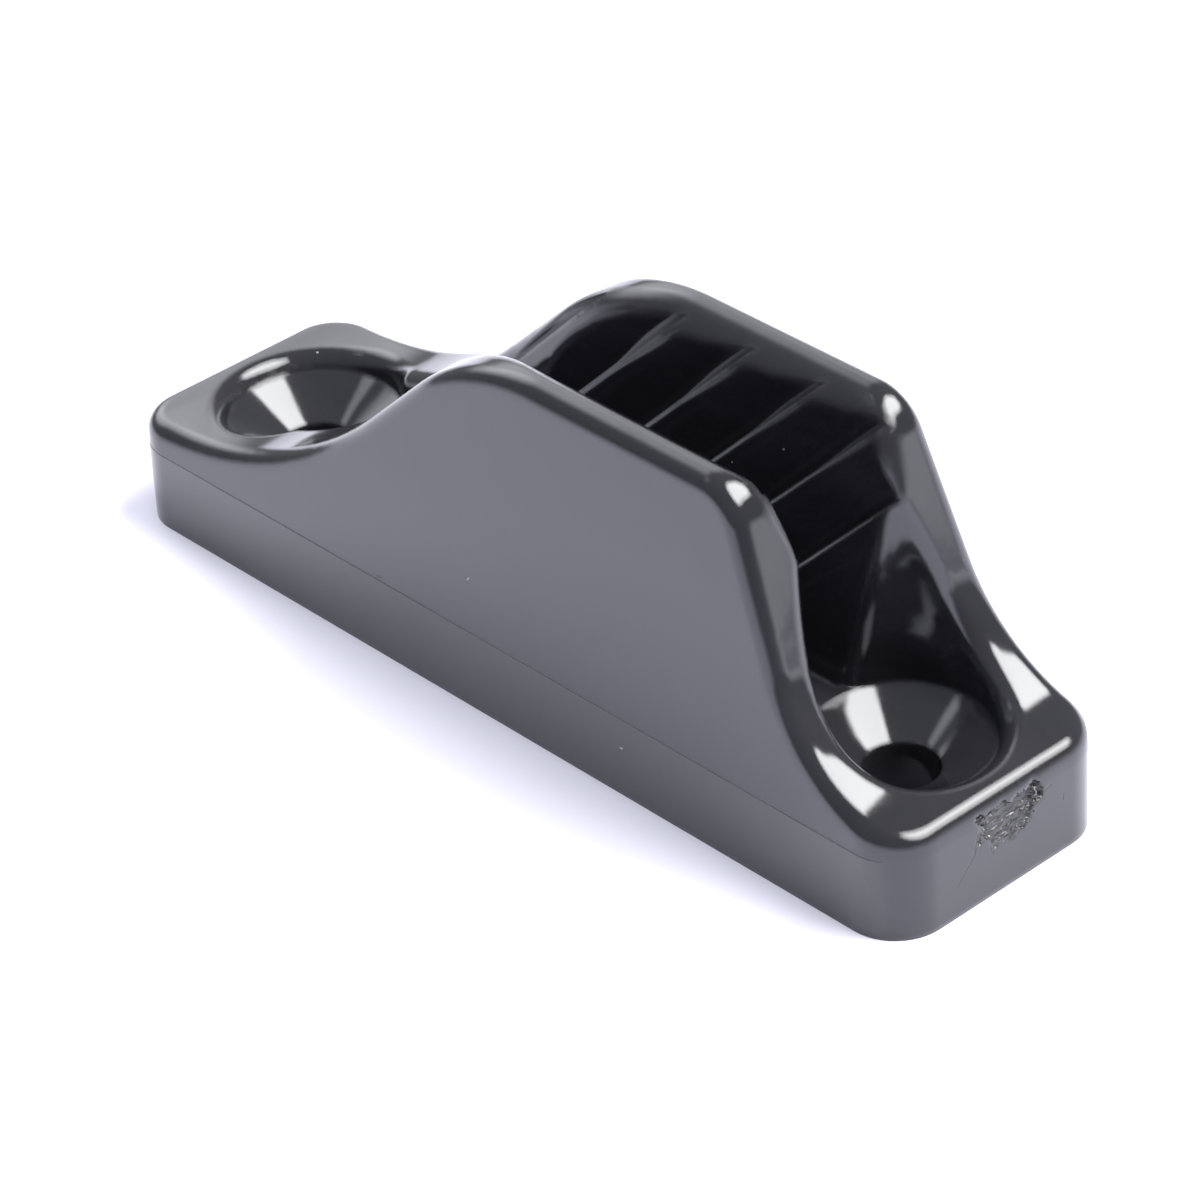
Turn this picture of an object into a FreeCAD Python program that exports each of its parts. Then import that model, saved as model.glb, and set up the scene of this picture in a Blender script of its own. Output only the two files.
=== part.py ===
import FreeCAD, Part
import math
import os

# Sizes in millimetres and angles in degrees
# The length runs along X, the width along Y, and the base lies on Z = 0

# Whole body
length = 80.0
width = 21.0
height = 28.3
corner_radius = 4.0
parting_height = 6.5
side_lean = 4.5

# Side outline of the upper part, with the foot of each slope measured from its screw hole
ramp_pad_height = 8.7
ramp_foot_setback = 6.7
ramp_angle = 42.9
steep_pad_height = 8.1
steep_foot_setback = 1.3
steep_angle = 68.4
ramp_foot_radius = 36.0
ramp_head_radius = 18.0
shoulder_radius = 4.0
steep_foot_radius = 13.0

# Rim round the rope channel
rim_outer_radius = 1.3
rim_inner_radius = 1.4

# Rope channel
channel_floor_height = 7.5
channel_floor_half_width = 1.36

# Flare of the channel towards the ramp end, narrower or wider than the bowl it runs into
lead_in_setback = 3.5
lead_in_low_step = 1.65
lead_in_high_step = 0.15
lead_in_radius = 40.0

# Rounded mouth of the channel along the crest
crest_width = 1.63
mouth_radius = 3.5
mouth_edge_slope = 20.0
mouth_start_turn = 0.9
mouth_ramp_reach = 9.5
mouth_steep_reach = 1.9

# Screw holes and the bowls round them
hole_radius = 2.75
cone_start_height = 5.15
bowl_side_wall = 3.85
bowl_end_wall = 3.05
bowl_ledge = 0.1
bowl_wall_lean = 1.0
bowl_corner_radius = 2.5

# Ridges on the channel walls
ridge_count = 6
ridge_pitch = 6.65
last_ridge_setback = 12.5
ridge_land = 2.2
ridge_face_draft = 2.0
ridge_overlap = 1.0

# Room for the cutting shapes to pass right through the body
clearance = 2.0

# Distance under which two points count as one
point_tolerance = 1e-3
full_turn = 360.0


def slope(angle):
    return math.tan(math.radians(angle))


def outer_inset(z):
    return (z - parting_height) * slope(side_lean)


half_length = length / 2
half_width = width / 2

bowl_wall_radius = half_width - bowl_side_wall
cone_top_radius = bowl_wall_radius - bowl_ledge
hole_x = half_length - bowl_end_wall - bowl_wall_radius

ramp_foot_x = ramp_foot_setback - hole_x
ramp_head_x = ramp_foot_x + (height - ramp_pad_height) / slope(ramp_angle)
steep_foot_x = hole_x + steep_foot_setback
shoulder_x = steep_foot_x - (height - steep_pad_height) / slope(steep_angle)

# The walls rise from the floor so that they all but touch the rounding of the mouth
mouth_half_width = half_width - outer_inset(height) - crest_width
mouth_centre_y = mouth_half_width + mouth_radius * math.sin(math.radians(mouth_edge_slope))
mouth_centre_z = height - mouth_radius * math.cos(math.radians(mouth_edge_slope))
mouth_offset_y = mouth_centre_y - channel_floor_half_width
mouth_offset_z = mouth_centre_z - channel_floor_height
mouth_distance = math.hypot(mouth_offset_y, mouth_offset_z)
touching_lean = math.atan(mouth_offset_y / mouth_offset_z) - math.asin(mouth_radius / mouth_distance)
mouth_start_lean = touching_lean + math.radians(mouth_start_turn)
mouth_start_y = mouth_centre_y - mouth_radius * math.cos(mouth_start_lean)
mouth_start_z = mouth_centre_z + mouth_radius * math.sin(mouth_start_lean)
mouth_start_x = ramp_head_x - mouth_ramp_reach
mouth_end_x = shoulder_x + mouth_steep_reach

lean_slope = (mouth_start_y - channel_floor_half_width) / (mouth_start_z - channel_floor_height)
lead_in_start_x = ramp_head_x - lead_in_setback
lead_in_low_half_width = bowl_wall_radius - lead_in_low_step
lead_in_high_half_width = bowl_wall_radius + lead_in_high_step

first_ridge_x = shoulder_x - last_ridge_setback - (ridge_count - 1) * ridge_pitch
ridge_run = ridge_pitch - ridge_land
ridge_depth = (lean_slope - slope(ridge_face_draft)) * ridge_run


def vector(x, y, z):
    return FreeCAD.Vector(x, y, z)


def channel_half_width(z):
    return channel_floor_half_width + lean_slope * (z - channel_floor_height)


def rounded_rectangle(half_x, half_y, radius, z):
    diagonal = radius * (1 - math.sqrt(0.5))
    corners = [(1, 1), (-1, 1), (-1, -1), (1, -1)]
    edges = []
    ends = []
    for sx, sy in corners:
        on_side = vector(sx * (half_x - radius), sy * half_y, z)
        on_end = vector(sx * half_x, sy * (half_y - radius), z)
        middle = vector(sx * (half_x - diagonal), sy * (half_y - diagonal), z)
        if sx * sy > 0:
            ends.append((on_end, middle, on_side))
        else:
            ends.append((on_side, middle, on_end))
    for index, (start, middle, finish) in enumerate(ends):
        edges.append(Part.Arc(start, middle, finish).toShape())
        following = ends[(index + 1) % len(ends)][0]
        edges.append(Part.makeLine(finish, following))
    return Part.Wire(edges)


def rounded_path(points, radii):
    edges = []
    start = points[0]
    for before, corner, after, radius in zip(points, points[1:], points[2:], radii):
        toward_before = (before - corner).normalize()
        toward_after = (after - corner).normalize()
        half_angle = toward_before.getAngle(toward_after) / 2
        reach = radius / math.tan(half_angle)
        bisector = (toward_before + toward_after).normalize()
        arc_start = corner + toward_before * reach
        arc_end = corner + toward_after * reach
        arc_middle = corner + bisector * (radius / math.sin(half_angle) - radius)
        edges.append(Part.makeLine(start, arc_start))
        edges.append(Part.Arc(arc_start, arc_middle, arc_end).toShape())
        start = arc_end
    edges.append(Part.makeLine(start, points[-1]))
    return edges


def top_path(y):
    points = [
        vector(-half_length - clearance, y, ramp_pad_height),
        vector(ramp_foot_x, y, ramp_pad_height),
        vector(ramp_head_x, y, height),
        vector(shoulder_x, y, height),
        vector(steep_foot_x, y, steep_pad_height),
        vector(half_length + clearance, y, steep_pad_height),
    ]
    radii = [ramp_foot_radius, ramp_head_radius, shoulder_radius, steep_foot_radius]
    return rounded_path(points, radii)


def make_plinth():
    outline = rounded_rectangle(half_length, half_width, corner_radius, 0)
    return Part.Face(outline).extrude(vector(0, 0, parting_height))


def make_floor():
    inset = rim_outer_radius
    outline = rounded_rectangle(half_length - inset, half_width - inset, corner_radius - inset, 0)
    return Part.Face(outline).extrude(vector(0, 0, channel_floor_height))


def make_leaning_block():
    top = height + clearance
    inset = outer_inset(top)
    low = rounded_rectangle(half_length, half_width, corner_radius, parting_height)
    high = rounded_rectangle(half_length - inset, half_width - inset, corner_radius - inset, top)
    return Part.makeLoft([low, high], True, True)


def make_side_prism():
    y = -half_width - clearance
    edges = top_path(y)
    left = edges[0].Vertexes[0].Point
    right = edges[-1].Vertexes[-1].Point
    left_foot = vector(left.x, y, 0)
    right_foot = vector(right.x, y, 0)
    edges.append(Part.makeLine(right, right_foot))
    edges.append(Part.makeLine(right_foot, left_foot))
    edges.append(Part.makeLine(left_foot, left))
    outline = Part.Wire(Part.__sortEdges__(edges))
    return Part.Face(outline).extrude(vector(0, 2 * (half_width + clearance), 0))


def runs_across(edge):
    first, last = edge.Vertexes[0].Point, edge.Vertexes[-1].Point
    return abs(first.x - last.x) < point_tolerance and abs(first.z - last.z) < point_tolerance


def outer_rim_edges(shape):
    chosen = []
    for edge in shape.Edges:
        low = min(vertex.Z for vertex in edge.Vertexes)
        inside = abs(edge.CenterOfMass.x) < half_length - corner_radius
        if low > parting_height + point_tolerance and not (runs_across(edge) and inside):
            chosen.append(edge)
    return chosen


def inner_rim_edges(shape, cutter):
    top = Part.Wire(top_path(0))
    chosen = []
    for edge in shape.Edges:
        middle = edge.valueAt((edge.FirstParameter + edge.LastParameter) / 2)
        to_top = top.distToShape(Part.Vertex(middle.x, 0, middle.z))[0]
        to_cutter = cutter.distToShape(Part.Vertex(middle))[0]
        if max(to_top, to_cutter) < point_tolerance and not runs_across(edge):
            chosen.append(edge)
    return chosen


def arc_round(centre, start, finish):
    radius = start.distanceToPoint(centre)
    middle = centre + ((start - centre) + (finish - centre)).normalize() * radius
    return Part.Arc(start, middle, finish).toShape()


# Plan outline of the channel at one height: two bowls joined by the walls
def wall_outline(z, lead_in_half_width):
    half = channel_half_width(z)
    bowl = bowl_wall_radius + (z - channel_floor_height) * slope(bowl_wall_lean)
    reach = bowl + bowl_corner_radius
    steep_hole = vector(hole_x, 0, z)
    ramp_hole = vector(-hole_x, 0, z)

    side = half + bowl_corner_radius
    steep_corner = vector(hole_x - math.sqrt(reach**2 - side**2), side, z)
    steep_touch = steep_hole + (steep_corner - steep_hole) * (bowl / reach)
    steep_start = vector(steep_corner.x, half, z)

    bend = vector(lead_in_start_x, half, z)
    lead_in_end = vector(-hole_x, lead_in_half_width, z)
    along = (lead_in_end - bend).normalize()
    outward = vector(along.y, -along.x, 0)
    offset = bend + outward * bowl_corner_radius - ramp_hole
    ahead = -offset.dot(along)
    run = ahead - math.sqrt(ahead**2 - offset.dot(offset) + reach**2)
    ramp_start = bend + along * run
    ramp_corner = ramp_start + outward * bowl_corner_radius
    ramp_touch = ramp_hole + (ramp_corner - ramp_hole) * (bowl / reach)

    edges = [arc_round(steep_hole, vector(hole_x + bowl, 0, z), steep_touch)]
    edges.append(arc_round(steep_corner, steep_touch, steep_start))
    edges.extend(rounded_path([steep_start, bend, ramp_start], [lead_in_radius]))
    edges.append(arc_round(ramp_corner, ramp_start, ramp_touch))
    edges.append(arc_round(ramp_hole, ramp_touch, vector(-hole_x - bowl, 0, z)))
    mirrored = [edge.mirror(vector(0, 0, 0), vector(0, 1, 0)) for edge in reversed(edges)]
    return Part.Wire(edges + mirrored)


# Prism that rounds the two upper edges of the walls into the channel
def make_mouth_cutter():
    centre = vector(mouth_start_x, mouth_centre_y, mouth_centre_z)
    start = vector(mouth_start_x, mouth_start_y, mouth_start_z)
    edge = vector(mouth_start_x, mouth_half_width, height)
    beyond = edge + vector(0, clearance / slope(mouth_edge_slope), clearance)
    side = [
        Part.makeLine(vector(mouth_start_x, 0, mouth_start_z), start),
        arc_round(centre, start, edge),
        Part.makeLine(edge, beyond),
        Part.makeLine(beyond, vector(mouth_start_x, 0, beyond.z)),
    ]
    mirrored = [part.mirror(vector(0, 0, 0), vector(0, 1, 0)) for part in reversed(side)]
    outline = Part.Wire(side + mirrored)
    return Part.Face(outline).extrude(vector(mouth_end_x - mouth_start_x, 0, 0))


def make_channel_cutter():
    low = wall_outline(parting_height - clearance, lead_in_low_half_width)
    high = wall_outline(height + clearance, lead_in_high_half_width)
    return Part.makeLoft([low, high], True, True).fuse(make_mouth_cutter())


def make_screw_cutter(x):
    points = [
        vector(x, 0, -clearance),
        vector(x + hole_radius, 0, -clearance),
        vector(x + hole_radius, 0, cone_start_height),
        vector(x + cone_top_radius, 0, channel_floor_height),
        vector(x, 0, channel_floor_height),
        vector(x, 0, -clearance),
    ]
    outline = Part.Face(Part.makePolygon(points))
    return outline.revolve(vector(x, 0, 0), vector(0, 0, 1), full_turn)


# Groove between two ridges, a triangle in plan carried up and along the wall
def make_ridge_cutter(index, side):
    crest_x = first_ridge_x + index * ridge_pitch
    rise = height + clearance - channel_floor_height
    wall_y = channel_half_width(channel_floor_height)
    grow = 1 + ridge_overlap / ridge_run
    root = vector(crest_x, side * (wall_y + ridge_depth), channel_floor_height)
    start = root - vector(ridge_run, side * ridge_depth, 0) * grow
    corner = vector(crest_x, start.y, channel_floor_height)
    outline = Part.makePolygon([root, start, corner, root])
    return Part.Face(outline).extrude(vector(rise, side * lean_slope * rise, rise))


def make_cleat():
    block = make_leaning_block().common(make_side_prism())
    block = block.makeFillet(rim_outer_radius, outer_rim_edges(block))
    channel = make_channel_cutter()
    block = block.cut(channel)
    block = block.makeFillet(rim_inner_radius, inner_rim_edges(block, channel))
    ridges = []
    for index in range(ridge_count):
        ridges.append(make_ridge_cutter(index, 1))
        ridges.append(make_ridge_cutter(index, -1))
    block = block.cut(ridges)
    body = block.multiFuse([make_plinth(), make_floor()])
    body = body.cut([make_screw_cutter(-hole_x), make_screw_cutter(hole_x)])
    return body.removeSplitter()


def main():
    os.makedirs("parts", exist_ok=True)
    make_cleat().exportStep(os.path.join("parts", "cleat_body.step"))


if __name__ == "__main__":
    main()
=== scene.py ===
import math
from collections import namedtuple
import bpy
from mathutils import Matrix, Vector, noise


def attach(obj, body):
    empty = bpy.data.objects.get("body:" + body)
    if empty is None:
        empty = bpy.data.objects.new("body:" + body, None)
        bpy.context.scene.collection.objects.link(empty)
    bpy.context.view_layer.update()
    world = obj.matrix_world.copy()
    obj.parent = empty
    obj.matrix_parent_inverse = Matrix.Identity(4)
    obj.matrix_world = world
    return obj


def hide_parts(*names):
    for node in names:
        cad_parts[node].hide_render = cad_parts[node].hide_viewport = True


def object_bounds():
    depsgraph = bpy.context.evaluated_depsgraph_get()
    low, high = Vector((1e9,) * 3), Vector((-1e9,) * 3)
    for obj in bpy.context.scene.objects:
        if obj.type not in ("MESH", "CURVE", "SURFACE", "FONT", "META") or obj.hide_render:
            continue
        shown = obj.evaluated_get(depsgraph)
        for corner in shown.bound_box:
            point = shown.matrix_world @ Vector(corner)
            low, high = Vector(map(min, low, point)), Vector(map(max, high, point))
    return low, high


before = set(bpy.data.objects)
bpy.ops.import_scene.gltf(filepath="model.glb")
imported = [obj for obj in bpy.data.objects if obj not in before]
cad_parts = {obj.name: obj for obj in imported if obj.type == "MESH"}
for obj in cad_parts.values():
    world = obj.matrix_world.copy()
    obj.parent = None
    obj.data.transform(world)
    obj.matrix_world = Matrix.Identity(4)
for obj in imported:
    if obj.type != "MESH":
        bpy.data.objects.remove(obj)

bl_info = {
    "name": "Jam cleat looks",
    "version": (1, 0, 0),
    "blender": (4, 5, 0),
    "location": "View3D > Sidebar > Jam cleat",
    "description": "Finishes a moulded black nylon jam cleat and its studio stage",
    "category": "Object",
}

CAD_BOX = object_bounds()
BODY_NODE = "cleat_body"
SKIN_NAME = "cleat_skin"
CUTTER_NAME = "gate_cutter"
MARK_GROUP = "Thin mark"
MM = 0.001

# Places on the body, in millimetres
END_FACE_X = CAD_BOX[1][0] / MM
SIDE_FACE_Y = CAD_BOX[1][1] / MM
PARTING_HEIGHT = 6.5

# Making of the skin: distances in metres, angles in degrees
WELD_DISTANCE = 2e-6
FLAT_ANGLE = 0.3
EDGE_ANGLE = 28
EDGE_SEGMENTS = 2
SMOOTH_ANGLE = 50
NORMAL_WEIGHT = 60
PARTING_TOLERANCE = 0.01 * MM

# Block that cuts the gate scar: grid, half sizes and middle in sizes of the scar, reach in millimetres
CUTTER_STEPS = (120, 90)
CUTTER_HALF_WIDTH = 1.5
CUTTER_HALF_HEIGHT = 1.15
CUTTER_MIDDLE = 0.45
CUTTER_REACH = 2

# Raggedness of the gate scar: waves per millimetre across and down, seed and strength of each ripple
OUTLINE_RIPPLES = ((1.3, 1.3, 0, 0.22), (4, 4, 3, 0.14))
TOP_EDGE_RIPPLES = ((0.9, 0, 7, 0.35), (5, 0, 2, 0.12))
BLADE_RIPPLES = ((0.6, 5.5, 11, 1.0), (2.0, 13, 5, 0.5))
BLADE_DEPTH = 0.13
TOP_EDGE_SLOPE = 1.6
WALL_STEEPNESS = 6
BLADE_STEEPNESS = 8
OUTSIDE_STEEPNESS = 2
OUTSIDE_LIFT = 0.3
FADE_DOWN = 0.9
LEAST_FADE = 0.25

# Ends of the masks on the body, in millimetres, and for the sides in shares of half the width
PARTING_LINE = (0.04, 0.11)
PARTING_SIDES = (0.90, 0.97)
BAND_EDGE = 0.10
RIDGE_END_ACROSS = (6.2, 6.8)
RIDGE_END_HEIGHT = (21.0, 25.5)
DUSTY_ACROSS = (9.3, 9.6)
SIDE_FACE_LEAN = 0.085

# Noise patterns: scale per metre, detail, roughness and distortion
Pattern = namedtuple("Pattern", "scale detail rough distortion", defaults=(0.0,))
MELT_FLOW = Pattern(130.0, 3.0, 0.55, 0.8)
SMUDGES = Pattern(160.0, 4.0, 0.6)
GRAIN = Pattern(2500.0, 2.0, 0.6)
SINK_WAVES = Pattern(170.0, 1.0, 0.4, 0.4)
PITS = Pattern(1500.0, 2.0, 0.5)
SCRATCHES = Pattern(1.0, 2.0, 0.5)
BLADE_STREAKS = Pattern(1.0, 4.0, 0.65, 0.3)
CRUMBS = Pattern(4200.0, 2.0, 0.5)
PAPER_FIBRE = Pattern(300.0, 4.0, 0.6)

# Patterns that run one way: stretch along the axes and turn in radians
Run = namedtuple("Run", "scale turn")
MELT_RUN = Run((0.35, 1.0, 1.0), (0, 0.25, 0))
SCRATCH_RUN = Run((60.0, 60.0, 1400.0), (0.5, 0.3, 0.2))
BLADE_RUN = Run((400.0, 350.0, 3200.0), (0.12, 0, 0))

# Ranges of the patterns that become a mask
FLOW_RANGE = (0.3, 0.75)
SMUDGE_RANGE = (0.45, 0.8)
SCRATCH_RANGE = (0.68, 0.72)
TORN_RANGE = (0.35, 0.7)
CRUMB_RANGE = (0.66, 0.72)
MARK_CORE = 0.55

# Dust dots: cells per metre, ends of a dot in cells, share of the cells without one, and strength
DUST_CELLS = 450.0
DUST_DOT = (0.022, 0.046)
DUST_FREE = 0.55
DUST_STRENGTH = 0.6
CRUMB_STRENGTH = 0.35

# Roughness of the polish, and what each fault adds to it
POLISH = 0.06
SMUDGE_ROUGHNESS = 0.045
GRAIN_ROUGHNESS = 0.03
MARK_ROUGHNESS = 0.4
BAND_ROUGHNESS = 0.10

# Roughness of the torn nylon over a range of its streaks
TORN_STREAKS = (0.3, 0.7)
TORN_ROUGHNESS = (0.16, 0.42)

# Heights of the fine relief, in metres
WAVE_HEIGHT = 0.000030
PIT_HEIGHT = 0.0000012
SCRATCH_DEPTH = 0.0000008
MARK_DEPTH = 0.00002
STREAK_HEIGHT = 0.00012

# Nylon's refraction, and the rays that find a rounded edge
NYLON_IOR = 1.53
EDGE_SAMPLES = 4

# Small marks on the surface: start and end in millimetres, half width in millimetres
DARK_MARKS = (
    ((-11.4, -10.4, 6.8), (-11.0, -10.4, 6.85), 0.13),
    ((40.0, 3.7, 5.95), (40.0, 4.3, 6.1), 0.10),
    ((40.0, 5.5, 4.3), (40.0, 5.55, 4.7), 0.10),
    ((40.0, -3.0, 4.4), (40.0, -4.8, 2.6), 0.06),
    ((40.0, -2.8, 5.8), (40.0, -3.1, 4.5), 0.13),
    ((40.0, -1.6, 4.1), (40.0, -1.3, 3.4), 0.09),
)
LIGHT_MARKS = (
    ((-1.8, -10.2, 10.7), (-1.6, -10.2, 10.9), 0.09),
    ((13.7, -10.5, 4.0), (13.9, -10.5, 4.05), 0.09),
    ((35.9, -5.4, 8.1), (37.7, -8.2, 8.1), 0.05),
    ((36.4, 7.3, 8.1), (36.9, 7.1, 8.1), 0.06),
)
CHIPS = (
    ((40.0, -2.0, 6.3), (40.0, -1.5, 6.45), 0.16),
    ((40.0, -1.0, 6.15), (40.0, -0.5, 6.45), 0.20),
    ((40.0, 0.9, 5.3), (40.0, 1.4, 5.45), 0.09),
)

# Lamps: azimuth and elevation in degrees, distance in metres, half the angles they fill, colour
Softbox = namedtuple("Softbox", "azimuth elevation distance half_angles color")
KEY_BOX = Softbox(46, 58, 0.8, (23, 17), (1.0, 0.99, 0.945))
FILL_BOX = Softbox(-60, 84, 1.0, (32, 32), (0.94, 0.955, 1.0))

# Bright areas of the studio: azimuth, elevation, full and outer radius in degrees, radiance
STUDIO_TINT = (0.94, 0.955, 1.0)
STUDIO_GLOWS = (
    (168, 34, 6, 24, 3.1),
    (144, 24, 3, 23, 1.7),
    (-151, 54, 2, 6, 2.2),
)

# Bright strip along the studio's horizon: azimuth, reach and soft end in degrees, radiance
HORIZON_GLOW = (60, 85, 25, 2.0)

# Sines of the elevations between which that strip fades
HORIZON_FADE = (0.03, 0.12)

# Floor: tone of its fibres, finish, and half size in millimetres and colour of the painted shade on the
# part under the body
FIBRE_TONE = 0.985
FLOOR_ROUGHNESS = 0.9
FLOOR_SPECULAR = 0.2
HIDDEN_FLOOR = {"X": 38.0, "Y": 8.0}
UNDER_BODY_PAINTED_SHADE = (0.06, 0.06, 0.07)

# Photographed camera, turned about the centre of the base: angles in degrees, lens in millimetres
CAMERA_AZIMUTH = 48.622
CAMERA_ELEVATION = 33.906
CAMERA_ROLL = 3.286
CAMERA_OFFSET = Vector((-0.1462, 3.9371, 358.777)) * MM
CAMERA_LENS = 149.79
CAMERA_SENSOR = 36
CAMERA_CLIP = 0.02

# Layout of the node trees in the editor
COLUMN_WIDTH = 220
ROW_HEIGHT = 200


# Node helpers

def add_node(tree, kind, **inputs):
    node = tree.nodes.new(kind)
    for name, value in inputs.items():
        node.inputs[name].default_value = value
    return node


def feed(tree, socket, value):
    if isinstance(value, bpy.types.NodeSocket):
        tree.links.new(value, socket)
    else:
        socket.default_value = value


def math_node(tree, operation, first, second=None, clamp=False):
    node = tree.nodes.new("ShaderNodeMath")
    node.operation = operation
    node.use_clamp = clamp
    feed(tree, node.inputs[0], first)
    if second is not None:
        feed(tree, node.inputs[1], second)
    return node.outputs["Value"]


def add_share(tree, value, mask, share):
    return math_node(tree, "ADD", value, math_node(tree, "MULTIPLY", mask, share))


def vector_node(tree, operation, first, second=None):
    node = tree.nodes.new("ShaderNodeVectorMath")
    node.operation = operation
    feed(tree, node.inputs[0], first)
    if second is not None:
        feed(tree, node.inputs["Scale" if operation == "SCALE" else 1], second)
    plain = operation in ("DOT_PRODUCT", "LENGTH")
    return node.outputs["Value" if plain else "Vector"]


def ramp_node(tree, source, ends, low=0.0, high=1.0):
    node = tree.nodes.new("ShaderNodeMapRange")
    node.interpolation_type = "SMOOTHSTEP"
    feed(tree, node.inputs["Value"], source)
    feed(tree, node.inputs["From Min"], ends[0])
    feed(tree, node.inputs["From Max"], ends[1])
    node.inputs["To Min"].default_value = low
    node.inputs["To Max"].default_value = high
    return node.outputs["Result"]


def noise_node(tree, vector, pattern):
    node = add_node(tree, "ShaderNodeTexNoise", Scale=pattern.scale, Detail=pattern.detail,
                    Roughness=pattern.rough, Distortion=pattern.distortion)
    tree.links.new(vector, node.inputs["Vector"])
    return node.outputs["Fac"]


def run_node(tree, vector, run):
    node = add_node(tree, "ShaderNodeMapping", Scale=run.scale, Rotation=run.turn)
    tree.links.new(vector, node.inputs["Vector"])
    return node.outputs["Vector"]


def axes_of(tree, vector):
    node = tree.nodes.new("ShaderNodeSeparateXYZ")
    tree.links.new(vector, node.inputs["Vector"])
    return node.outputs


def mix_color(tree, factor, first, second):
    node = tree.nodes.new("ShaderNodeMix")
    node.data_type = "RGBA"
    feed(tree, node.inputs["Factor"], factor)
    for name, value in (("A", first), ("B", second)):
        socket = next(s for s in node.inputs if s.name == name and s.type == "RGBA")
        feed(tree, socket, value if isinstance(value, bpy.types.NodeSocket) else (*value, 1))
    return next(s for s in node.outputs if s.type == "RGBA")


def bump_node(tree, height, normal=None):
    node = add_node(tree, "ShaderNodeBump", Strength=1.0, Distance=1.0)
    tree.links.new(height, node.inputs["Height"])
    if normal is not None:
        tree.links.new(normal, node.inputs["Normal"])
    return node.outputs["Normal"]


def metres(lengths):
    return tuple(length * MM for length in lengths)


# Lay a tree's nodes out in columns, each node to the left of all that it feeds
def arrange(tree):
    links = [(link.from_node.name, link.to_node.name) for link in tree.links]
    column = {node.name: 0 for node in tree.nodes}
    moved = True
    while moved:
        moved = False
        for source, target in links:
            if column[source] <= column[target]:
                column[source] = column[target] + 1
                moved = True
    filled = dict.fromkeys(column.values(), 0)
    for name, index in column.items():
        tree.nodes[name].location = (-COLUMN_WIDTH * index, -ROW_HEIGHT * filled[index])
        filled[index] += 1


def new_material(name):
    material = bpy.data.materials.new(name)
    material.use_nodes = True
    tree = material.node_tree
    where = tree.nodes.new("ShaderNodeTexCoord").outputs["Object"]
    return material, tree, tree.nodes["Principled BSDF"], where


# Node group that masks a thin straight mark, told by its start, its reach and half its width
def thin_mark_group():
    group = bpy.data.node_groups.get(MARK_GROUP)
    if group:
        return group
    group = bpy.data.node_groups.new(MARK_GROUP, "ShaderNodeTree")
    for name in ("Position", "Start", "Reach"):
        group.interface.new_socket(name, in_out="INPUT", socket_type="NodeSocketVector")
    group.interface.new_socket("Half Width", in_out="INPUT", socket_type="NodeSocketFloat")
    group.interface.new_socket("Mask", in_out="OUTPUT", socket_type="NodeSocketFloat")
    given = group.nodes.new("NodeGroupInput").outputs
    offset = vector_node(group, "SUBTRACT", given["Position"], given["Start"])
    along = vector_node(group, "DOT_PRODUCT", offset, given["Reach"])
    length = vector_node(group, "DOT_PRODUCT", given["Reach"], given["Reach"])
    share = math_node(group, "DIVIDE", along, length, clamp=True)
    foot = vector_node(group, "SCALE", given["Reach"], share)
    distance = vector_node(group, "LENGTH", vector_node(group, "SUBTRACT", offset, foot))
    core = math_node(group, "MULTIPLY", given["Half Width"], MARK_CORE)
    mask = ramp_node(group, distance, (core, given["Half Width"]), 1.0, 0.0)
    group.links.new(mask, group.nodes.new("NodeGroupOutput").inputs["Mask"])
    arrange(group)
    return group


def marks_mask(tree, where, marks):
    total = None
    for start, end, half_width in marks:
        mark = tree.nodes.new("ShaderNodeGroup")
        mark.node_tree = thin_mark_group()
        mark.inputs["Start"].default_value = Vector(start) * MM
        mark.inputs["Reach"].default_value = (Vector(end) - Vector(start)) * MM
        mark.inputs["Half Width"].default_value = half_width * MM
        tree.links.new(where, mark.inputs["Position"])
        mask = mark.outputs["Mask"]
        total = mask if total is None else math_node(tree, "MAXIMUM", total, mask)
    return total


# A point of the body: its place, its distance from the upright middle plane and its height
Spot = namedtuple("Spot", "where across height")


# Masks of the line that the two mould halves left along the long sides and of the duller band below it, a
# band that is also painted lighter as a painted reflection of the floor
def parting_masks(tree, spot):
    sides = ramp_node(tree, spot.across, metres(share * SIDE_FACE_Y for share in PARTING_SIDES))
    above = math_node(tree, "SUBTRACT", spot.height, PARTING_HEIGHT * MM)
    line = ramp_node(tree, math_node(tree, "ABSOLUTE", above), metres(PARTING_LINE), 1.0, 0.0)
    band = ramp_node(tree, above, (-BAND_EDGE * MM, 0.0), 1.0, 0.0)
    return math_node(tree, "MULTIPLY", line, sides), math_node(tree, "MULTIPLY", band, sides)


# Mask of the dust dots, one in some cells of a pattern, on the tops and in the channel
def dust_mask(tree, spot):
    cells = add_node(tree, "ShaderNodeTexVoronoi", Scale=DUST_CELLS)
    tree.links.new(spot.where, cells.inputs["Vector"])
    dots = ramp_node(tree, cells.outputs["Distance"], DUST_DOT, 1.0, 0.0)
    chance = tree.nodes.new("ShaderNodeSeparateColor")
    tree.links.new(cells.outputs["Color"], chance.inputs["Color"])
    dusty = math_node(tree, "GREATER_THAN", chance.outputs["Red"], DUST_FREE)
    above = math_node(tree, "SUBTRACT", spot.height, PARTING_HEIGHT * MM)
    outward = add_share(tree, spot.across, above, SIDE_FACE_LEAN)
    tops = ramp_node(tree, outward, metres(DUSTY_ACROSS), 1.0, 0.0)
    dots = math_node(tree, "MULTIPLY", math_node(tree, "MULTIPLY", dots, dusty), tops)
    return math_node(tree, "MULTIPLY", dots, DUST_STRENGTH)
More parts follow.
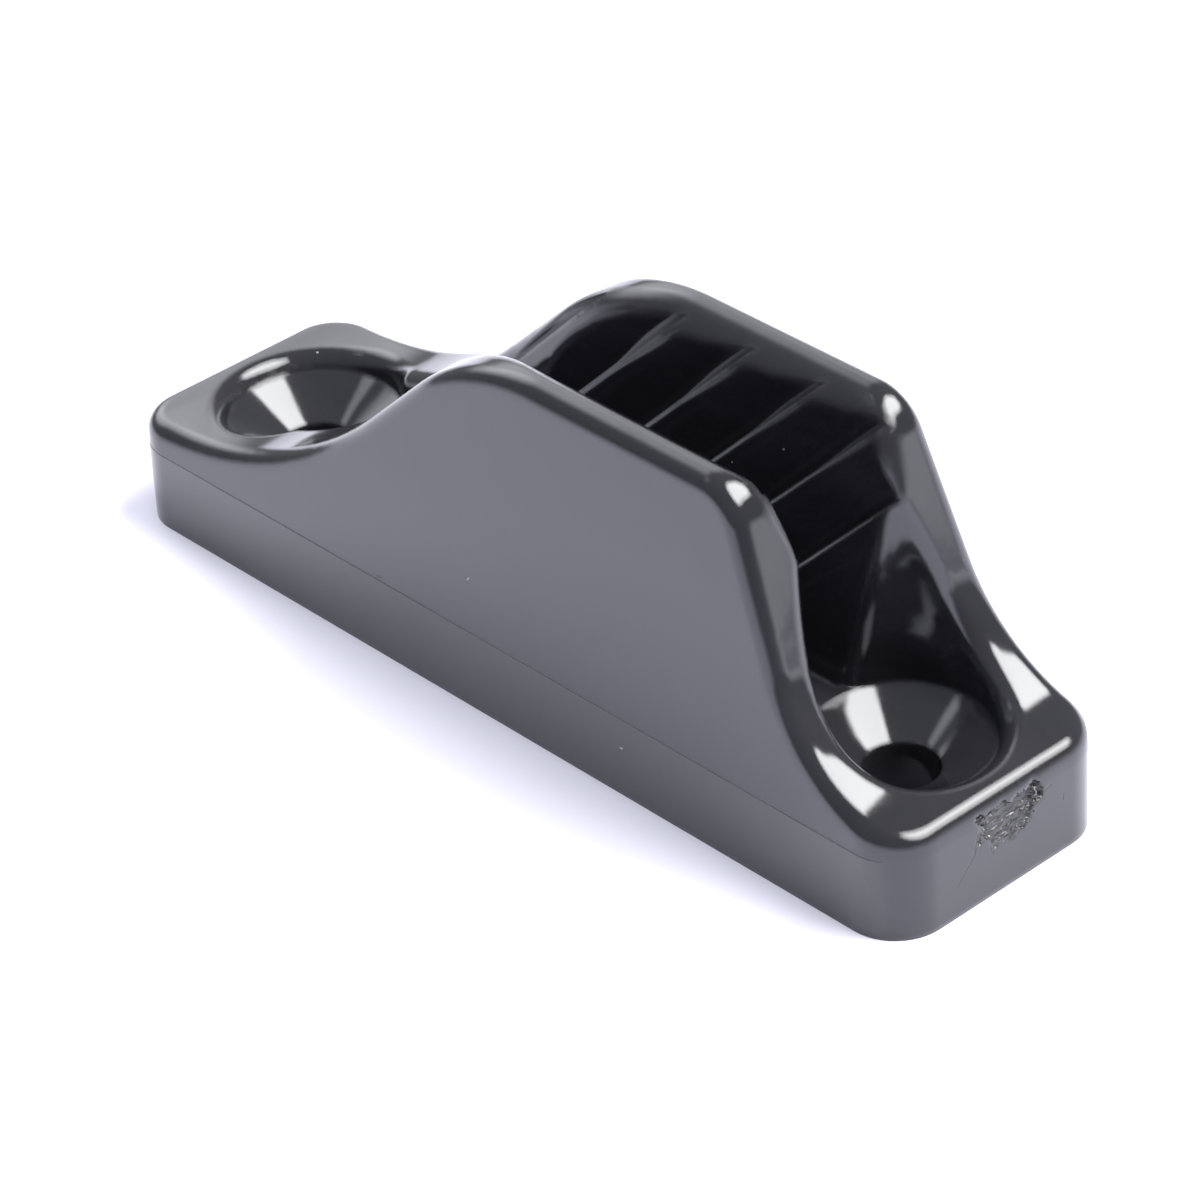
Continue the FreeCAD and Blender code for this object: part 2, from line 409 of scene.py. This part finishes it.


# Black with streaks of the melt that ran from the gate, with the light and dark marks, and with a painted
# reflection that lightens the band below the parting line
def nylon_color(tree, spot, finish, light, dark, band):
    flow = noise_node(tree, run_node(tree, spot.where, MELT_RUN), MELT_FLOW)
    streaks = ramp_node(tree, flow, FLOW_RANGE)
    color = mix_color(tree, streaks, finish.nylon_dark, finish.nylon_light)
    # Painted reflection: the band below the parting line is lightened towards the dust colour
    painted_reflection = math_node(tree, "MULTIPLY", band, finish.band_painted_reflection)
    color = mix_color(tree, math_node(tree, "MAXIMUM", light, painted_reflection), color, finish.dust_and_reflection)
    return mix_color(tree, dark, color, finish.stain)


# Polish with faint smudges and a fine grain, dull on the marks
def nylon_roughness(tree, spot, marked, band):
    smudge = ramp_node(tree, noise_node(tree, spot.where, SMUDGES), SMUDGE_RANGE)
    rough = add_share(tree, POLISH, smudge, SMUDGE_ROUGHNESS)
    rough = add_share(tree, rough, noise_node(tree, spot.where, GRAIN), GRAIN_ROUGHNESS)
    rough = add_share(tree, rough, marked, MARK_ROUGHNESS)
    return add_share(tree, rough, band, BAND_ROUGHNESS)


# Rounded ridges and rims, softer where the ridges end below the crest
def rounded_normal(tree, spot, finish):
    inner = ramp_node(tree, spot.across, metres(RIDGE_END_ACROSS), 1.0, 0.0)
    high = ramp_node(tree, spot.height, metres(RIDGE_END_HEIGHT))
    ridge_ends = math_node(tree, "MULTIPLY", inner, high)
    wider = finish.ridge_end_softness - finish.edge_softness
    node = tree.nodes.new("ShaderNodeBevel")
    node.samples = EDGE_SAMPLES
    tree.links.new(add_share(tree, finish.edge_softness, ridge_ends, wider), node.inputs["Radius"])
    return node.outputs["Normal"]


# Height of the sink waves, pits, handling scratches and marks
def nylon_relief(tree, spot, marked):
    waves = noise_node(tree, spot.where, SINK_WAVES)
    scratch = noise_node(tree, run_node(tree, spot.where, SCRATCH_RUN), SCRATCHES)
    height = math_node(tree, "MULTIPLY", waves, WAVE_HEIGHT)
    height = add_share(tree, height, noise_node(tree, spot.where, PITS), PIT_HEIGHT)
    height = add_share(tree, height, ramp_node(tree, scratch, SCRATCH_RANGE), -SCRATCH_DEPTH)
    return add_share(tree, height, marked, -MARK_DEPTH)


def nylon_material(finish):
    material, tree, shader, where = new_material("black_nylon_moulded")
    axes = axes_of(tree, where)
    spot = Spot(where, math_node(tree, "ABSOLUTE", axes["Y"]), axes["Z"])
    parting, band = parting_masks(tree, spot)
    light = math_node(tree, "MAXIMUM", marks_mask(tree, where, LIGHT_MARKS), dust_mask(tree, spot))
    dark = marks_mask(tree, where, DARK_MARKS)
    marked = math_node(tree, "MAXIMUM", math_node(tree, "MAXIMUM", light, dark), parting)
    color = nylon_color(tree, spot, finish, light, dark, band)
    rough = nylon_roughness(tree, spot, marked, band)
    normal = bump_node(tree, nylon_relief(tree, spot, marked), rounded_normal(tree, spot, finish))
    tree.links.new(color, shader.inputs["Base Color"])
    tree.links.new(rough, shader.inputs["Roughness"])
    tree.links.new(normal, shader.inputs["Normal"])
    shader.inputs["IOR"].default_value = NYLON_IOR
    shader.inputs["Specular Tint"].default_value = (*finish.gloss_tint, 1)
    arrange(tree)
    return material


# Torn nylon of the gate, streaked by the trimming blade, with whitened chips and crumbs
def torn_material(finish):
    material, tree, shader, where = new_material("black_nylon_torn")
    streak = noise_node(tree, run_node(tree, where, BLADE_RUN), BLADE_STREAKS)
    color = mix_color(tree, ramp_node(tree, streak, TORN_RANGE), finish.nylon_light, finish.torn)
    crumbs = ramp_node(tree, noise_node(tree, where, CRUMBS), CRUMB_RANGE)
    crumbs = math_node(tree, "MULTIPLY", crumbs, CRUMB_STRENGTH)
    chips = math_node(tree, "MAXIMUM", marks_mask(tree, where, CHIPS), crumbs)
    color = mix_color(tree, chips, color, finish.chip)
    rough = ramp_node(tree, streak, TORN_STREAKS, *TORN_ROUGHNESS)
    normal = bump_node(tree, math_node(tree, "MULTIPLY", streak, STREAK_HEIGHT))
    tree.links.new(color, shader.inputs["Base Color"])
    tree.links.new(rough, shader.inputs["Roughness"])
    tree.links.new(normal, shader.inputs["Normal"])
    shader.inputs["IOR"].default_value = NYLON_IOR
    arrange(tree)
    return material


class CleatFinish(bpy.types.PropertyGroup):
    nylon_dark: bpy.props.FloatVectorProperty(
        name="Nylon dark", description="Darker tone of the black nylon", subtype="COLOR",
        default=(0.0055, 0.0055, 0.0068), min=0, max=1)
    nylon_light: bpy.props.FloatVectorProperty(
        name="Nylon light", description="Lighter tone of the black nylon", subtype="COLOR",
        default=(0.0085, 0.0085, 0.0105), min=0, max=1)
    gloss_tint: bpy.props.FloatVectorProperty(
        name="Gloss tint", description="Tint of the nylon's reflections", subtype="COLOR",
        default=(0.91, 0.93, 1.0), min=0, max=1)
    # Also the colour of the painted reflection on the band below the parting line
    dust_and_reflection: bpy.props.FloatVectorProperty(
        name="Dust", description="Colour of dust and light scratches", subtype="COLOR",
        default=(0.24, 0.23, 0.22), min=0, max=1)
    stain: bpy.props.FloatVectorProperty(
        name="Stain", description="Colour of the dark specks", subtype="COLOR",
        default=(0.010, 0.006, 0.004), min=0, max=1)
    torn: bpy.props.FloatVectorProperty(
        name="Torn nylon", description="Colour of the cut surface at the gate", subtype="COLOR",
        default=(0.016, 0.016, 0.019), min=0, max=1)
    chip: bpy.props.FloatVectorProperty(
        name="Chips", description="Colour of the whitened chips at the gate", subtype="COLOR",
        default=(0.55, 0.55, 0.56), min=0, max=1)
    edge_width: bpy.props.FloatProperty(
        name="Edge width", description="Width of the modelled softening of sharp edges", unit="LENGTH",
        default=0.00010)
    edge_softness: bpy.props.FloatProperty(
        name="Edge softness", description="Radius over which shading rounds the ridges and rims",
        unit="LENGTH", default=0.00055)
    ridge_end_softness: bpy.props.FloatProperty(
        name="Ridge end softness", description="The same radius where the ridges end below the crest",
        unit="LENGTH", default=0.0014)
    # Painted reflection: share of the dust colour painted on the band below the parting line; the band's
    # dullness comes from BAND_ROUGHNESS
    band_painted_reflection: bpy.props.FloatProperty(
        name="Lower band haze", description="Dullness of the long sides below the mould's parting line",
        default=0.05, min=0, max=1)


class GateScar(bpy.types.PropertyGroup):
    centre: bpy.props.FloatProperty(
        name="Centre", description="Place of the scar across the end face", unit="LENGTH", default=0.0003)
    half_width: bpy.props.FloatProperty(
        name="Half width", description="Half the width of the scar", unit="LENGTH", default=0.0031)
    top: bpy.props.FloatProperty(
        name="Top", description="Height of the upper edge of the scar", unit="LENGTH", default=0.0071)
    drop: bpy.props.FloatProperty(
        name="Drop", description="Reach of the scar below its upper edge", unit="LENGTH", default=0.0034)
    depth: bpy.props.FloatProperty(
        name="Depth", description="Depth of the scar under its upper edge", unit="LENGTH", default=0.00060)


class StageSettings(bpy.types.PropertyGroup):
    floor_size: bpy.props.FloatProperty(
        name="Floor size", description="Side of the square floor", unit="LENGTH", default=6.0)
    floor_color: bpy.props.FloatVectorProperty(
        name="Floor colour", description="Colour of the floor", subtype="COLOR",
        default=(0.67, 0.665, 0.775), min=0, max=1)
    key_radiance: bpy.props.FloatProperty(
        name="Key light", description="Brightness of the key softbox", default=18.5, min=0)
    fill_radiance: bpy.props.FloatProperty(
        name="Fill light", description="Brightness of the overhead fill", default=3.1, min=0)
    studio_radiance: bpy.props.FloatProperty(
        name="Studio", description="Brightness of the dim studio round the object", default=0.3, min=0)
    display_gamma: bpy.props.FloatProperty(
        name="Display gamma", description="Lift of the dark tones", default=1.2, min=0.5, max=2)


def ripple(y, z, ripples):
    return sum(strength * noise.noise(Vector((y * across, z * down, seed)))
               for across, down, seed, strength in ripples)


def ease_in(edge, steepness):
    return min(1, max(0, edge * steepness))


# Depth of the scar below the end face at one point of it, in millimetres, negative outside the scar
def scar_depth(gate, y, z):
    across = (y - gate.centre / MM) / (gate.half_width / MM)
    down = (gate.top / MM - z) / (gate.drop / MM)
    below = max(down, 0)
    inside = 1 - math.hypot(across, below) + ripple(y, z, OUTLINE_RIPPLES)
    under_top = down * TOP_EDGE_SLOPE + ripple(y, z, TOP_EDGE_RIPPLES)
    edge = min(inside, under_top)
    if edge <= 0:
        return max(-OUTSIDE_LIFT, edge * OUTSIDE_STEEPNESS)
    fade = max(LEAST_FADE, 1 - FADE_DOWN * below)
    tear = gate.depth / MM * fade * ease_in(edge, WALL_STEEPNESS)
    return tear + BLADE_DEPTH * ripple(y, z, BLADE_RIPPLES) * ease_in(edge, BLADE_STEEPNESS)


class OBJECT_OT_gate_cutter(bpy.types.Operator):
    """Shape the ragged block that cuts the scar of the moulding gate"""
    bl_idname = "object.cleat_gate_cutter"
    bl_label = "Gate scar"

    def execute(self, context):
        gate = context.scene.cleat_gate
        columns, rows = CUTTER_STEPS
        half_y = CUTTER_HALF_WIDTH * gate.half_width
        half_z = CUTTER_HALF_HEIGHT * gate.drop
        middle = gate.top - CUTTER_MIDDLE * gate.drop
        bpy.ops.object.select_all(action="DESELECT")
        bpy.ops.mesh.primitive_grid_add(x_subdivisions=columns, y_subdivisions=rows, size=2)
        cutter = context.object
        cutter.name = CUTTER_NAME
        for vertex in cutter.data.vertices:
            y = gate.centre + vertex.co.x * half_y
            z = middle + vertex.co.y * half_z
            depth = scar_depth(gate, y / MM, z / MM)
            vertex.co = (END_FACE_X * MM - depth * MM, y, z)
        outward = (CUTTER_REACH * MM, 0, 0)
        bpy.ops.object.mode_set(mode="EDIT")
        bpy.ops.mesh.select_all(action="SELECT")
        bpy.ops.mesh.extrude_region_move(TRANSFORM_OT_translate={"value": outward})
        bpy.ops.mesh.select_all(action="SELECT")
        bpy.ops.mesh.normals_make_consistent(inside=False)
        bpy.ops.object.mode_set(mode="OBJECT")
        cutter.data.materials.append(torn_material(context.scene.cleat_finish))
        return {"FINISHED"}


# Copy of the moulded body with its triangles welded and its flat faces joined
def copy_body(context):
    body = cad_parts[BODY_NODE]
    bpy.ops.object.select_all(action="DESELECT")
    body.select_set(True)
    context.view_layer.objects.active = body
    bpy.ops.object.duplicate()
    skin = context.object
    skin.name = SKIN_NAME
    skin.data.materials.clear()
    bpy.ops.object.mode_set(mode="EDIT")
    bpy.ops.mesh.select_all(action="SELECT")
    bpy.ops.mesh.customdata_custom_splitnormals_clear()
    bpy.ops.mesh.remove_doubles(threshold=WELD_DISTANCE)
    bpy.ops.mesh.dissolve_limited(angle_limit=math.radians(FLAT_ANGLE))
    bpy.ops.object.mode_set(mode="OBJECT")
    return skin


def apply_modifier(piece, name, kind, **values):
    modifier = piece.modifiers.new(name, kind)
    for key, value in values.items():
        setattr(modifier, key, value)
    bpy.ops.object.modifier_apply(modifier=modifier.name)


# Keep the edge between the two mould halves crisp
def sharpen_parting_edge(mesh):
    for edge in mesh.edges:
        heights = [mesh.vertices[index].co.z for index in edge.vertices]
        if all(abs(height - PARTING_HEIGHT * MM) < PARTING_TOLERANCE for height in heights):
            edge.use_edge_sharp = True


class OBJECT_OT_cleat_body(bpy.types.Operator):
    """Dress the moulded body in a skin with softened edges, black nylon and the cut gate"""
    bl_idname = "object.cleat_body"
    bl_label = "Cleat body"

    def execute(self, context):
        finish = context.scene.cleat_finish
        cutter = bpy.data.objects[CUTTER_NAME]
        skin = copy_body(context)
        skin.data.materials.append(nylon_material(finish))
        bpy.ops.object.shade_smooth_by_angle(angle=math.radians(EDGE_ANGLE))
        apply_modifier(skin, "edges", "BEVEL", width=finish.edge_width, segments=EDGE_SEGMENTS,
                       limit_method="ANGLE", angle_limit=math.radians(EDGE_ANGLE),
                       use_clamp_overlap=True, loop_slide=False)
        apply_modifier(skin, "gate scar", "BOOLEAN", operation="DIFFERENCE", solver="EXACT",
                       material_mode="TRANSFER", object=cutter)
        bpy.data.objects.remove(cutter)
        bpy.ops.object.shade_smooth_by_angle(angle=math.radians(SMOOTH_ANGLE))
        sharpen_parting_edge(skin.data)
        apply_modifier(skin, "normals", "WEIGHTED_NORMAL", weight=NORMAL_WEIGHT, keep_sharp=True)
        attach(skin, "root")
        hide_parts(BODY_NODE)
        return {"FINISHED"}


def direction(azimuth, elevation):
    a, e = math.radians(azimuth), math.radians(elevation)
    return Vector((math.cos(a) * math.cos(e), math.sin(a) * math.cos(e), math.sin(e)))


def cosine(degrees):
    return math.cos(math.radians(degrees))


# Elliptic lamp that shows the given radiance, aimed at the centre of the base
def add_softbox(name, box, radiance):
    data = bpy.data.lights.new(name, "AREA")
    data.shape = "ELLIPSE"
    data.size, data.size_y = (2 * box.distance * math.tan(math.radians(angle)) for angle in box.half_angles)
    area = math.pi * data.size * data.size_y / 4
    data.energy = radiance * math.pi * area
    data.color = box.color
    lamp = bpy.data.objects.new(name, data)
    toward = direction(box.azimuth, box.elevation)
    lamp.location = toward * box.distance
    lamp.rotation_euler = toward.to_track_quat("Z", "Y").to_euler()
    bpy.context.collection.objects.link(lamp)
    return lamp


# Dim studio with soft bright areas and a bright strip along part of the horizon
def studio_world(settings):
    world = bpy.data.worlds.new("studio")
    world.use_nodes = True
    tree = world.node_tree
    background = tree.nodes["Background"]
    background.inputs["Color"].default_value = (*STUDIO_TINT, 1)
    toward = tree.nodes.new("ShaderNodeTexCoord").outputs["Generated"]
    total = settings.studio_radiance
    for azimuth, elevation, inner, outer, radiance in STUDIO_GLOWS:
        near = vector_node(tree, "DOT_PRODUCT", toward, direction(azimuth, elevation))
        glow = ramp_node(tree, near, (cosine(outer), cosine(inner)), 0.0, radiance)
        total = math_node(tree, "ADD", glow, total)
    azimuth, reach, soft_end, radiance = HORIZON_GLOW
    facing = vector_node(tree, "DOT_PRODUCT", toward, direction(azimuth, 0))
    facing = ramp_node(tree, facing, (cosine(reach), cosine(reach - soft_end)))
    level = ramp_node(tree, axes_of(tree, toward)["Z"], HORIZON_FADE, radiance, 0.0)
    total = math_node(tree, "ADD", total, math_node(tree, "MULTIPLY", facing, level))
    tree.links.new(total, background.inputs["Strength"])
    arrange(tree)
    return world


# Mask of the painted shade on the floor under the body, where hardly any light comes in
def under_body_painted_shade_mask(tree, where):
    axes = axes_of(tree, where)
    inside = []
    for name, limit in HIDDEN_FLOOR.items():
        distance = math_node(tree, "ABSOLUTE", axes[name])
        inside.append(math_node(tree, "LESS_THAN", distance, limit * MM))
    return math_node(tree, "MULTIPLY", *inside)


# Pale paper with painted shade under the body, as the photographed screw holes are dark
def floor_material(settings):
    material, tree, shader, where = new_material("floor_paper")
    shade = tuple(FIBRE_TONE * tone for tone in settings.floor_color)
    paper = mix_color(tree, noise_node(tree, where, PAPER_FIBRE), settings.floor_color, shade)
    # Painted shade: the floor under the body is painted dark
    paper = mix_color(tree, under_body_painted_shade_mask(tree, where), paper, UNDER_BODY_PAINTED_SHADE)
    tree.links.new(paper, shader.inputs["Base Color"])
    shader.inputs["Roughness"].default_value = FLOOR_ROUGHNESS
    shader.inputs["Specular IOR Level"].default_value = FLOOR_SPECULAR
    arrange(tree)
    return material


# Axes of the photographed camera, seen from the body: right, down and forward
def camera_turn():
    a, e = math.radians(CAMERA_AZIMUTH), math.radians(CAMERA_ELEVATION)
    roll = math.radians(CAMERA_ROLL)
    forward = -Vector((math.sin(a) * math.cos(e), -math.cos(a) * math.cos(e), math.sin(e)))
    level_right = forward.cross(Vector((0, 0, 1))).normalized()
    level_down = forward.cross(level_right)
    right = math.cos(roll) * level_right + math.sin(roll) * level_down
    down = -math.sin(roll) * level_right + math.cos(roll) * level_down
    return right, down, forward


def add_camera(context):
    data = bpy.data.cameras.new("photo_camera")
    data.sensor_width = CAMERA_SENSOR
    data.lens = CAMERA_LENS
    data.clip_start = CAMERA_CLIP
    camera = bpy.data.objects.new("photo_camera", data)
    context.collection.objects.link(camera)
    right, down, forward = camera_turn()
    place = -(Matrix((right, down, forward)).transposed() @ CAMERA_OFFSET)
    axes = Matrix((right, -down, -forward)).transposed()
    camera.matrix_world = Matrix.Translation(place) @ axes.to_4x4()
    context.scene.camera = camera


class OBJECT_OT_cleat_stage(bpy.types.Operator):
    """Lay the floor, set the soft lights and the camera"""
    bl_idname = "object.cleat_stage"
    bl_label = "Stage"

    def execute(self, context):
        settings = context.scene.cleat_stage
        bpy.ops.object.select_all(action="DESELECT")
        bpy.ops.mesh.primitive_plane_add(size=settings.floor_size, location=(0, 0, 0))
        floor = context.object
        floor.name = "floor"
        floor.data.materials.append(floor_material(settings))
        add_softbox("key_softbox", KEY_BOX, settings.key_radiance)
        fill = add_softbox("overhead_fill", FILL_BOX, settings.fill_radiance)
        fill.visible_glossy = False
        context.scene.world = studio_world(settings)
        add_camera(context)
        context.scene.view_settings.view_transform = "Standard"
        context.scene.view_settings.gamma = settings.display_gamma
        return {"FINISHED"}


class VIEW3D_PT_jam_cleat(bpy.types.Panel):
    bl_idname = "VIEW3D_PT_jam_cleat"
    bl_label = "Jam cleat"
    bl_space_type = "VIEW_3D"
    bl_region_type = "UI"
    bl_category = "Jam cleat"

    def draw(self, context):
        groups = (
            (context.scene.cleat_gate, OBJECT_OT_gate_cutter),
            (context.scene.cleat_finish, OBJECT_OT_cleat_body),
            (context.scene.cleat_stage, OBJECT_OT_cleat_stage),
        )
        for group, operator in groups:
            box = self.layout.box()
            for name in group.__annotations__:
                box.prop(group, name)
            box.operator(operator.bl_idname)


CLASSES = (
    CleatFinish,
    GateScar,
    StageSettings,
    OBJECT_OT_gate_cutter,
    OBJECT_OT_cleat_body,
    OBJECT_OT_cleat_stage,
    VIEW3D_PT_jam_cleat,
)


def register():
    for cls in CLASSES:
        bpy.utils.register_class(cls)
    bpy.types.Scene.cleat_finish = bpy.props.PointerProperty(type=CleatFinish)
    bpy.types.Scene.cleat_gate = bpy.props.PointerProperty(type=GateScar)
    bpy.types.Scene.cleat_stage = bpy.props.PointerProperty(type=StageSettings)


def unregister():
    del bpy.types.Scene.cleat_stage
    del bpy.types.Scene.cleat_gate
    del bpy.types.Scene.cleat_finish
    for cls in reversed(CLASSES):
        bpy.utils.unregister_class(cls)


def main():
    register()
    bpy.ops.object.cleat_gate_cutter()
    bpy.ops.object.cleat_body()
    bpy.ops.object.cleat_stage()


if __name__ == "__main__":
    main()
